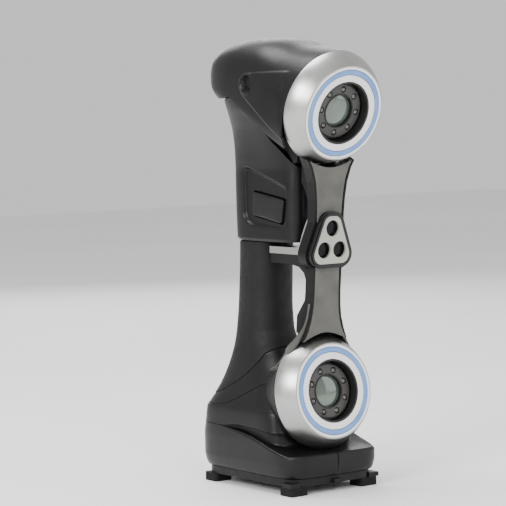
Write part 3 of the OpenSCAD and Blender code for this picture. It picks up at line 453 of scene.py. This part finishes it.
# ---- Control block ----
# Two satin black halves flare upwards into the head. Each side has a sunk pocket with a square
# push button in it.
BLOCK_Z = 160.386
block_rows = [(160.39, 15.5, -16.5, 45.5, 4.5, .04), (162.39, 16.5, -17.5, 47, 4.5, .04),
              (186.39, 16.5, -18, 47.8, 4.5, .04), (205.39, 16.5, -18.5, 48.2, 4.2, .05),
              (215.39, 18.1, -18.5, 47.4, 3.8, .06), (224.39, 20.5, -18.5, 46.4, 3.4, .06),
              (233.39, 24, -18.5, 45.4, 3.1, .05), (241.39, 28.5, -18.5, 44.4, 2.9, .03),
              (247.89, 32.5, -18.5, 44, 2.8, 0), (257.39, 35.5, -18.5, 44.6, 2.8, 0)]
slice_line = [(-80, 190.47), (12.7, 250.77), (17.3, 253.87), (21.5, 255.77), (27, 255.17),
              (34, 254.37), (80, 254.07)]
block_top = ([(-60, 179.57), (-17.3, 209.87), (-2, 226.57), (6, 240.17), (12.7, 249.97)]
             + [(y, z - 0.6) for y, z in slice_line[2:]])
pocket = [(34.5, 46), (31, 49.5), (22, 47.5), (4, 42), (-12, 35.8), (-13, 32), (-11, 11),
          (-7, 8.4), (27, 10.3), (33.5, 15.5)]
button = [(-9, 27.8), (23.2, 32.6), (24.2, 17.3), (-6.3, 12.3)]


def depth_in(corners, y, z, ease=0.0):
    """How far each point lies inside a convex outline: its least distance to the edges, with
    corners rounded by ease."""
    corners = np.array(corners, float)
    nxt = np.roll(corners, -1, 0)
    middle = corners.mean(0)
    least = np.full(np.shape(y), 1e9)
    for (y0, z0), (y1, z1) in zip(corners, nxt):
        n = np.array((z1 - z0, y0 - y1)) / np.hypot(z1 - z0, y1 - y0)
        n *= np.sign(np.dot(n, middle - (y0, z0)))
        d = (y - y0) * n[0] + (z - z0) * n[1]
        if ease:
            h = np.clip(0.5 + 0.5 * (least - d) / ease, 0, 1)
            least = least + (d - least) * h - ease * h * (1 - h)
        else:
            least = np.minimum(least, d)
    return least


def block_side(count=330, steps=250):
    """Half of the block, from its lower rim up to the sloping top edge. The side sinks by 2 mm
    inside the pocket's outline, and by 2 mm more round the button."""
    angle = even_angles(4.5, 16.5, 32.5, count)
    top = trim(block_rows, block_top, angle, 0, 165, 257)
    rows = [shell_point(block_rows, BLOCK_Z + 0.05 + 0 * angle, angle, i) for i in (7, 3, 0.6)]
    rows += [shell_point(block_rows, BLOCK_Z + 0.1 + (top - BLOCK_Z - 0.6) * i, angle, 0)
             for i in np.linspace(0, 1, steps)]
    rows += [shell_point(block_rows, top - 0.5 + 0.5 * np.sin(i), angle, 0.5 * (1 - np.cos(i)))
             for i in np.linspace(0, np.pi / 2, 4)[1:]]
    rows += [shell_point(block_rows, top, angle, i) for i in (1.2, 2.2)]
    grid = np.stack(rows, 1)
    x, y, z = np.moveaxis(grid, -1, 0)
    at = z - BLOCK_Z
    side_on = ramp((x - 10) / 3)
    sunk = 2.0 * ramp((depth_in(pocket, y, at, 3) + 0.8) / 2.6)
    hole = 2.2 * ramp((depth_in(button, y, at, 2.2) + 0.95) / 0.45)
    grid[..., 0] = np.where(sunk > 0.01, x - side_on * (sunk + hole + (x - 16.4) * ramp(
        (depth_in(pocket, y, at, 3) + 0.8) / 2.6)), x)
    grid[..., 0] = np.maximum(grid[..., 0], 0)
    grid[..., 0] += seam * np.exp(-grid[..., 0] / 0.6)
    return grid


for side, sign in (("right", 1), ("left", -1)):
    half = block_side() * np.array((sign, 1, 1))
    piece("block_shell_" + side, surface("block_" + side, half), satin_black,
          ("block_" + side,), wall=1.2, edge=0.15)

# ---- Side buttons ----
# Square satin caps with rounded corners and a soft crown. Each slides in its pocket against a
# small switch on the board.
button_black = finish("button_black", (0.006, 0.006, 0.0065), (0.01, 0.01, 0.011), 0.4, grain=0.3,
                      relief=0.3, shine=0.26)


def cap(sign, count=160):
    """A cap seen from the side: rings from the middle of its face out to the rounded corners,
    over an eased edge and down its side. Each ring is the outline drawn in by a share."""
    middle = np.array(button, float).mean(0)
    way = np.linspace(0, 2 * np.pi, count, endpoint=False)
    dy, dz = np.cos(way), np.sin(way)
    low, high = np.zeros(count), np.full(count, 40.0)
    for _ in range(40):
        r = (low + high) / 2
        inside = depth_in(button, middle[0] + r * dy, middle[1] + r * dz, 2.2) > 0
        low, high = np.where(inside, r, low), np.where(inside, high, r)
    rings, face, back_x = [], 16.2, 12.5
    for share, inset, x in ([(0.001, 0, face + 0.25)]
                            + [(i, 0, face + 0.25 * (1 - i ** 3)) for i in (0.2, 0.5, 0.8, 0.92)]
                            + [(1, 0.7 - 0.7 * np.sin(i), face - 0.7 * (1 - np.cos(i)))
                               for i in np.linspace(0, np.pi / 2, 6)]
                            + [(i, 0, back_x) for i in (1, 0.5, 0.001)]):
        r = low * share - inset
        rings.append(np.stack([np.full(count, x), middle[0] + r * dy,
                               BLOCK_Z + middle[1] + r * dz], -1))
    return np.stack(rings, 1) * np.array((sign, 1, 1))


for side, sign in (("right", 1), ("left", -1)):
    piece("button_cap_" + side, surface("cap_" + side, cap(sign), True), button_black,
          ("side_button_" + side,), body="button_" + side)
switch_grey = finish("switch_grey", (0.07, 0.07, 0.07), (0.12, 0.12, 0.12), 0.5)
dress(switch_grey, "button_switches", "trigger_switch")

# ---- Trigger ----
# A satin black lever hangs on a steel pin across the front of the block, behind the laser
# unit, where the first finger reaches it.
dress(button_black, "trigger")
dress(screw_steel, "trigger_pin")

# ---- Neck and head ----
# A matt inner frame joins the block to the head. Over it sits one satin black moulding, round
# at the camera and flattening into a broad tail, with a raised panel round the side screw.
dress(matt_black, "neck_frame")
head_rows = [(0, 37.5, 37.5, -38.85, 247.59, 16.2, 2, 2.9),
             (1, 37.5, 34.8, -19.68, 252.87, 11, 2.3, 3.6),
             (2, 37.5, 31, 0.32, 261.37, 6, 2.6, 4),
             (3, 36.8, 26, 21.32, 266.77, 3, 2.9, 4), (4, 34.5, 20.5, 37.32, 269.57, 1, 3, 4),
             (5, 30, 15.5, 48.32, 270.07, 0, 2.8, 3.5), (6, 22.5, 10, 54.32, 269.57, 0, 2.5, 3),
             (6.5, 14, 5, 55.9, 269.4, 0, 2.3, 2.6), (6.8, 0.05, 0.05, 56.4, 269.3, 0, 2, 2)]
panel = [(-70, 274), (-30, 272.5), (-3, 273), (3.5, 271.5), (8, 267.5), (9.3, 262.5),
         (7.5, 257), (-30, 228), (-70, 197)]
head_bore = (-1.1, 263.57)


def head_point(t, angle):
    """The point at station t and angle on a lying shell. Its upright section is a superellipse
    of half width a and half height h, tilted by lean, with exponent e above and eb below."""
    a, h, y, z, lean, e, eb = np.moveaxis(through(head_rows, t), -1, 0)
    q = 2 / np.where(np.sin(angle) < 0, eb, e)
    v = h * power(np.sin(angle), q)
    return np.stack([a * power(np.cos(angle), q), y - v * np.sin(lean * DEG),
                     z + v * np.cos(lean * DEG)], -1)


def head_surface(count=420, stations=210):
    """The head from side to side over the top. Each station starts and ends where it meets the
    slice line, found by halving, or closes underneath at the tail."""
    t = np.concatenate([np.linspace(0, 6, stations - 30), np.linspace(6, 6.8, 31)[1:]])
    low, high = np.full(t.shape, -90.0) * DEG, np.full(t.shape, 60.0) * DEG
    for _ in range(40):
        angle = (low + high) / 2
        p = head_point(t, angle)
        under = p[:, 2] < line_height(slice_line, p[:, 1])
        low, high = np.where(under, angle, low), np.where(under, high, angle)
    start = (low + high) / 2
    share = np.linspace(0, 1, count)[:, None]
    angle = start + share * (np.pi - 2 * start)
    grid = head_point(t[None] + 0 * angle, angle)
    x, y, z = np.moveaxis(grid, -1, 0)
    raised = 0.8 * ramp(depth_in(panel, y, z, 4) / 1.3) * ramp((y + 38) / 6)
    bore = np.hypot(y - head_bore[0], z - head_bore[1])
    lip = 0.5 * np.exp(-((bore - 6.3) / 0.9) ** 2)
    sunk = 2.2 * ramp((5.4 - bore) / 0.6)
    side_on = ramp((np.abs(x) - 20) / 8)
    grid[..., 0] += np.sign(x) * side_on * (raised + lip - sunk)
    return grid


piece("head_moulding", surface("head_moulding", head_surface()), satin_black,
      ("head_shell",), wall=1.6, edge=0.25)
dress(screw_steel, "head_screws")
status_lens = finish("status_lens", (0.2, 0.24, 0.3), (0.28, 0.34, 0.42), 0.2, relief=0.1,
                     coat=0.6)
dress(status_lens, "status_window")

# ---- Front frame ----
# A near-black moulded spine holds both cameras at a fixed lean. A stiff aluminium bar lies
# inside it, and its foot spreads into olive grey webs behind the lower bezel.
frame_grey = finish("frame_grey", (0.0035, 0.0035, 0.0035), (0.006, 0.006, 0.006), 0.45,
                    grain=0.3, relief=0.35, shine=0.2)
bare_metal = finish("bare_metal", (0.5, 0.5, 0.5), (0.62, 0.62, 0.62), 0.35, grain=0.25,
                    relief=0.1, metal=1.0)
dress(frame_grey, "front_frame")
dress(bare_metal, "optical_backbone", "laser_heat_sink")
piece("frame_wing", surface("frame_wing", shroud_part("front")), frame_grey,
      wall=1.6, edge=0.3)
EYES["front"] = (np.array((0, -45.19, 154.39)), 4.8 * DEG)


def flare(sign, count=70, across=26):
    """The web between the spine's side and the lower ring. Its free edge is a cubic curve that
    leaves the spine and sweeps back to the wing's tip, its other edge runs round the ring, and
    straight lines join the two with a slight hollow."""
    t = np.linspace(0, 1, count)[:, None]
    c = [eye_point("front", -11.9 * sign, -34, -12.6), eye_point("front", -12 * sign, -50, -13),
         np.array((-19 * sign, -28, 92)), np.array((-35.2 * sign, -18, 79.5))]
    free = ((1 - t) ** 3 * c[0] + 3 * t * (1 - t) ** 2 * c[1] + 3 * t * t * (1 - t) * c[2]
            + t ** 3 * c[3])
    way = np.pi / 2 + sign * (0.02 + 1.06 * t[:, 0])
    ring = eye_point("lower", 37.4 * np.cos(way), 37.4 * np.sin(way), -14.8 + 0 * way)
    v = np.linspace(0, 1, across)[None, :, None]
    dip = np.array((0, 1.2, 0)) * np.sin(np.pi * v)
    return free[:, None] * (1 - v) + ring[:, None] * v + dip


web_grey = finish("web_grey", (0.05, 0.049, 0.043), (0.072, 0.071, 0.063), 0.55, grain=0.4,
                  relief=0.6, cloud=14)
for side, sign in (("left", 1), ("right", -1)):
    piece("frame_flare_" + side, surface("flare_" + side, flare(sign)), web_grey,
          wall=1.4, edge=0.3)

# ---- Front cover ----
# An olive grey strip with a fine leather grain is clipped into the spine from the lower bezel
# to the upper one.
cover_grain = finish("cover_grain", (0.07, 0.069, 0.06), (0.1, 0.099, 0.088), 0.62, grain=0.45,
                     relief=1.0, cloud=12)
cover_half = [(-65, 22), (-60.5, 20), (-56.5, 17), (-51.5, 14.2), (-45, 12), (-35.5, 10.6),
              (-26, 10.2), (0, 10), (24, 10.2), (33.5, 10.7), (44.5, 12.1), (53.5, 14.8),
              (60, 18.3), (65.5, 20.3)]


def cover_strip(across=40, along=260):
    """A strip whose half width follows a smooth curve along the spine. Its ends follow the
    bezels' circles, and its edges are eased over 0.8 mm. Ends are given lower, then upper."""
    bezel_reach, bezel_mid, end_half = 37.95, np.array((90.9, 91.9)), np.array((18.6, 17))
    top, ease = -10.6, 0.8
    quarter = np.linspace(0, np.pi / 2, 6)[1:]
    u, v = np.linspace(-1, 1, across)[:, None], np.linspace(0, 1, along)
    ends = bezel_mid - np.sqrt(bezel_reach ** 2 - (u * end_half) ** 2)
    y = -ends[:, :1] + (ends[:, :1] + ends[:, 1:]) * v
    half = through(cover_half, y)[..., 0]
    face = eye_point("front", u * (half - ease), y, top + 0 * y)
    low_x, high_x = ([eye_point("front", s * (half[k] - ease * (1 - np.sin(i))), y[k],
                               top - ease * (1 - np.cos(i)) + 0 * y[k]) for i in quarter]
                    for s, k in ((-1, 0), (1, -1)))
    return np.concatenate([np.stack(low_x[::-1]), face, np.stack(high_x)], 0)


piece("cover_strip", surface("cover_strip", cover_strip()), cover_grain,
      ("front_cover",), wall=1.6, edge=0.3)

# ---- Bridge between spine and grip ----
# A silver painted arm ties the spine to the block, and a matt black cover under it carries the
# leads.
silver_paint = finish("silver_paint", (0.4, 0.4, 0.39), (0.46, 0.46, 0.45), 0.34, grain=0.25,
                      relief=0.04, cloud=25, metal=1.0, rough_swing=0.03)
dress(silver_paint, "bridge_strut")
dress(matt_black, "strut_cover")

# ---- Laser unit ----
# A glossy black pod with rounded corners stands proud of the spine. A pale plate in its face has
# three holes, each with a dark window over a brass laser module.
pod_black = finish("pod_black", (0.005, 0.005, 0.005), (0.009, 0.009, 0.009), 0.28, grain=0.3,
                   relief=0.1, shine=0.4)
plate_pale = finish("plate_pale", (0.36, 0.36, 0.315), (0.44, 0.44, 0.39), 0.38, grain=0.15,
                    relief=0.3, metal=0.35)
dark_glass = finish("dark_glass", (0.002, 0.002, 0.003), (0.005, 0.005, 0.007), 0.1, relief=0.0,
                    rough_swing=0.02, shine=0.2)
brass = finish("brass", (0.45, 0.3, 0.1), (0.58, 0.42, 0.17), 0.3, metal=1.0)
dress(pod_black, "laser_pod")
dress(plate_pale, "aperture_plate")
dress(dark_glass, "laser_windows")
dress(brass, "laser_modules")

# ---- Cameras ----
# Both are alike: a silver bezel, a white diffusing ring with a blue light ring let into it, a
# black bore with eight lamps in a ring, and a coated lens.
white_ring = finish("white_ring", (0.8, 0.8, 0.8), (0.86, 0.86, 0.86), 0.35, relief=0.05,
                    cloud=15)
blue_ring = finish("blue_ring", (0.12, 0.26, 0.58), (0.16, 0.31, 0.64), 0.32, relief=0.05, cloud=12)
bore_black = finish("bore_black", (0.005, 0.005, 0.005), (0.01, 0.01, 0.01), 0.5)
led_plate_grey = finish("led_plate_grey", (0.035, 0.034, 0.032), (0.055, 0.053, 0.05), 0.4)
led_clear = finish("led_clear", (0.05, 0.047, 0.038), (0.09, 0.085, 0.07), 0.12, relief=0.02,
                   coat=1.0)
lens_metal = finish("lens_metal", (0.015, 0.015, 0.015), (0.03, 0.03, 0.03), 0.3, metal=0.6)
camera_grey = finish("camera_grey", (0.2, 0.2, 0.2), (0.28, 0.28, 0.28), 0.4)
lens_coat = finish("lens_coat", (0.085, 0.115, 0.09), (0.13, 0.165, 0.135), 0.1, relief=0.0,
                   cloud=14, rough_swing=0.03, metal=0.3, coat=1.0)


def turned(eye, profile, count=192):
    """A profile of (radius, height) turned about a camera's axis."""
    way = np.linspace(0, 2 * np.pi, count, endpoint=False)[:, None]
    r, z = np.array(profile, float).T
    return eye_point(eye, r * np.cos(way), r * np.sin(way), z + 0 * way)


def fillet(profile, radius, steps=5):
    """A closed profile with each corner replaced by a curve that starts and ends radius away
    from it."""
    p = np.array(profile, float)
    before, after = np.roll(p, 1, 0) - p, np.roll(p, -1, 0) - p
    la, lb = np.hypot(*before.T)[:, None], np.hypot(*after.T)[:, None]
    a = p + before / la * np.minimum(radius, la * 0.45)
    b = p + after / lb * np.minimum(radius, lb * 0.45)
    t = np.linspace(0, 1, steps)[:, None, None]
    return ((1 - t) ** 2 * a + 2 * t * (1 - t) * p + t * t * b).transpose(1, 0, 2).reshape(-1, 2)


bezel_curve = [(30.9 + 6.6 * (1 - (i / 16) ** 1.5), -14.1 * (1 - i / 16)) for i in range(17)]
bezel_curve += [(30.42, 0), (30.42, -4.2)]
for eye in ("upper", "lower"):
    piece(eye + "_bezel_ring", surface(eye + "_bezel", turned(eye, fillet(
        bezel_curve + [(28, -4.6), (35, -12.6), (35, -14.1)], 0.3)), True, True), silver_paint,
          (eye + "_bezel",))
    piece(eye + "_white_face", surface(eye + "_face", turned(eye, fillet(
        [(20.6, -2.6), (30.3, -2.6), (30.3, 0), (28.5, 0), (28.5, -1.1), (24.9, -1.1),
         (24.9, 0), (20.6, 0)], 0.22)), True, True), white_ring,
          (eye + "_face_ring",))
    # A black rubber ring sunk in the groove under the blue ring is painted shade: it fills the thin
    # gaps on either side of the blue ring with black.
    piece(eye + "_light_gasket", surface(eye + "_gasket", turned(eye, fillet(
        [(24.95, -1.05), (28.45, -1.05), (28.45, -0.2), (24.95, -0.2)], 0.1)), True, True),
          foot_rubber)
    piece(eye + "_blue_light", surface(eye + "_light", turned(eye, fillet(
        [(25.2, -0.95), (28.2, -0.95), (28.2, 0.1), (25.2, 0.1)], 0.25)), True, True),
          blue_ring, (eye + "_light_ring",))
    dome = [(10.45 * np.sin(i), -7.6 + 1.5 * np.cos(i) ** 2) for i in np.linspace(0.002, 1.57, 20)]
    piece(eye + "_front_lens", surface(eye + "_lens", turned(eye, dome + [(10.45, -8.6),
          (0.02, -8.6)]), True, True), lens_coat, (eye + "_lens_glass",))
    dress(bore_black, eye + "_bore_sleeve", eye + "_lens_cell")
    dress(led_plate_grey, eye + "_led_plate")
    dress(led_clear, eye + "_leds")
    dress(lens_metal, eye + "_lens_barrel")
    dress(camera_grey, eye + "_camera")
